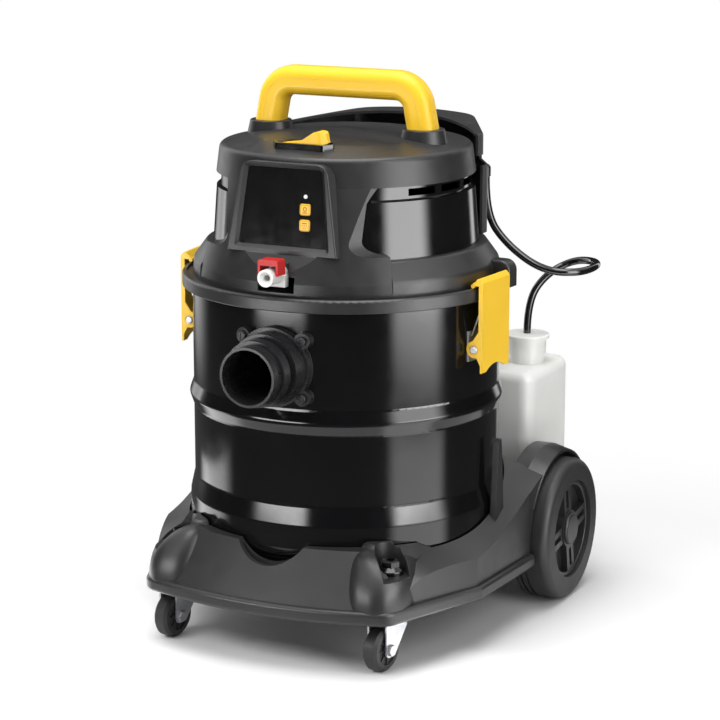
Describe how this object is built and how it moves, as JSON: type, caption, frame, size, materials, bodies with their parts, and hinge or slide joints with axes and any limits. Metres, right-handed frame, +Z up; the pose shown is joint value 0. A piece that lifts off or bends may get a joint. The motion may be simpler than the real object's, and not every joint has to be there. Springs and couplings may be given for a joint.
{
  "type": "carpet cleaner machine",
  "caption": "Drum-type carpet cleaner on a wheeled base with a latched power head, carrying handle, front hose inlet and a rear solution bottle with its hose.",
  "frame": {"origin": "centre of the footprint on the floor, hose left out", "axes": "+X to the machine's left-hand latch side seen on the right of the picture, -Y to the front with the inlet, +Z up"},
  "size_m": [0.446, 0.556, 0.633],
  "materials": {
    "charcoal_plastic": "satin moulded plastic",
    "black_plastic": "smooth moulded plastic",
    "black_gloss": "polished",
    "black_paint": "glossy black paint",
    "yellow_plastic": "smooth coloured plastic",
    "red_plastic": "smooth coloured plastic",
    "white_plastic": "natural white plastic",
    "zinc": "bright zinc plated",
    "motor_alloy": "cast and turned",
    "rubber_black": "moulded rubber",
    "hose_rubber": "smooth black tube"
  },
  "bodies": {
    "machine": {"base_dolly": "charcoal_plastic", "base_screws": "black_paint", "rear_axle": "zinc", "caster_stem_right": "zinc", "caster_stem_left": "zinc", "tank": "black_paint", "inlet_port": "black_plastic", "inlet_gasket": "rubber_black", "inlet_screws": "black_paint", "inlet_deflector": "black_plastic", "latch_bracket_right": "zinc", "latch_bracket_left": "zinc", "latch_pin_right": "zinc", "latch_pin_left": "zinc", "latch_spring_right": "zinc", "latch_spring_left": "zinc", "lid_base": "charcoal_plastic", "lid_gasket": "rubber_black", "waist_drum": "black_gloss", "top_cover": "charcoal_plastic", "control_panel": "black_gloss", "led_lens": "white_plastic", "rocker_bezel": "black_gloss", "handle_outer": "yellow_plastic", "handle_inner": "yellow_plastic", "rear_housing": "charcoal_plastic", "solution_pump": "black_plastic", "hose_barb": "black_plastic", "solution_hose": "hose_rubber", "solution_bottle": "white_plastic", "bottle_cap": "white_plastic", "pickup_tube": "white_plastic", "coupling_body": "white_plastic", "vacuum_motor": "zinc", "motor_seal": "rubber_black", "float_cage": "black_plastic"},
    "right_latch": {"latch_lever_right": "yellow_plastic"},
    "left_latch": {"latch_lever_left": "yellow_plastic"},
    "rocker": {"rocker_switch": "yellow_plastic"},
    "upper_button": {"panel_button_upper": "yellow_plastic"},
    "lower_button": {"panel_button_lower": "yellow_plastic"},
    "release_clip": {"coupling_clip": "red_plastic"},
    "right_swivel": {"caster_fork_right": "zinc", "caster_axle_right": "zinc"},
    "left_swivel": {"caster_fork_left": "zinc", "caster_axle_left": "zinc"},
    "right_caster_wheel": {"caster_wheel_right": "rubber_black"},
    "left_caster_wheel": {"caster_wheel_left": "rubber_black"},
    "right_rear_wheel": {"rear_tyre_right": "rubber_black", "rear_hub_right": "charcoal_plastic", "rear_cap_right": "charcoal_plastic"},
    "left_rear_wheel": {"rear_tyre_left": "rubber_black", "rear_hub_left": "charcoal_plastic", "rear_cap_left": "charcoal_plastic"},
    "rotor": {"motor_rotor": "motor_alloy"},
    "float": {"float_ball": "white_plastic"}
  },
  "joints": [
    {"name": "latch_right", "type": "hinge", "parent": "machine", "child": "right_latch", "pos_m": [0.1823, -0.05595, 0.337], "axis": [0.0872, 0.9962, 0], "range_deg": [0, 35]},
    {"name": "latch_left", "type": "hinge", "parent": "machine", "child": "left_latch", "pos_m": [-0.1823, -0.05595, 0.337], "axis": [0.0872, -0.9962, 0], "range_deg": [0, 35]},
    {"name": "rocker", "type": "hinge", "parent": "machine", "child": "rocker", "pos_m": [0, -0.144, 0.5585], "axis": [0, 1, 0], "range_deg": [0, 16]},
    {"name": "button_upper", "type": "slide", "parent": "machine", "child": "upper_button", "axis": [0, 0.9959, -0.0905], "range_m": [0, 0.0008], "stiffness_N_per_m": 800},
    {"name": "button_lower", "type": "slide", "parent": "machine", "child": "lower_button", "axis": [0, 0.9959, -0.0905], "range_m": [0, 0.0008], "stiffness_N_per_m": 800},
    {"name": "clip_slide", "type": "slide", "parent": "machine", "child": "release_clip", "axis": [0, 0, -1], "range_m": [0, 0.003], "stiffness_N_per_m": 600},
    {"name": "caster_swivel_right", "type": "hinge", "parent": "machine", "child": "right_swivel", "pos_m": [0.131, -0.197, 0.05], "axis": [0, 0, 1], "continuous": true},
    {"name": "caster_swivel_left", "type": "hinge", "parent": "machine", "child": "left_swivel", "pos_m": [-0.131, -0.197, 0.05], "axis": [0, 0, 1], "continuous": true},
    {"name": "caster_wheel_right", "type": "hinge", "parent": "right_swivel", "child": "right_caster_wheel", "pos_m": [0.12849, -0.21482, 0.025], "axis": [0.9903, -0.1392, 0], "continuous": true},
    {"name": "caster_wheel_left", "type": "hinge", "parent": "left_swivel", "child": "left_caster_wheel", "pos_m": [-0.13351, -0.21482, 0.025], "axis": [0.9903, -0.1392, 0], "continuous": true},
    {"name": "rear_wheel_right", "type": "hinge", "parent": "machine", "child": "right_rear_wheel", "pos_m": [0.2, 0.11236, 0.0838], "axis": [1, 0, 0], "continuous": true},
    {"name": "rear_wheel_left", "type": "hinge", "parent": "machine", "child": "left_rear_wheel", "pos_m": [-0.2, 0.11236, 0.0838], "axis": [1, 0, 0], "continuous": true},
    {"name": "motor_spin", "type": "hinge", "parent": "machine", "child": "rotor", "pos_m": [0, -0.04, 0.45], "axis": [0, 0, 1], "continuous": true},
    {"name": "float_rise", "type": "slide", "parent": "machine", "child": "float", "axis": [0, 0, 1], "range_m": [0, 0.034]}
  ]
}
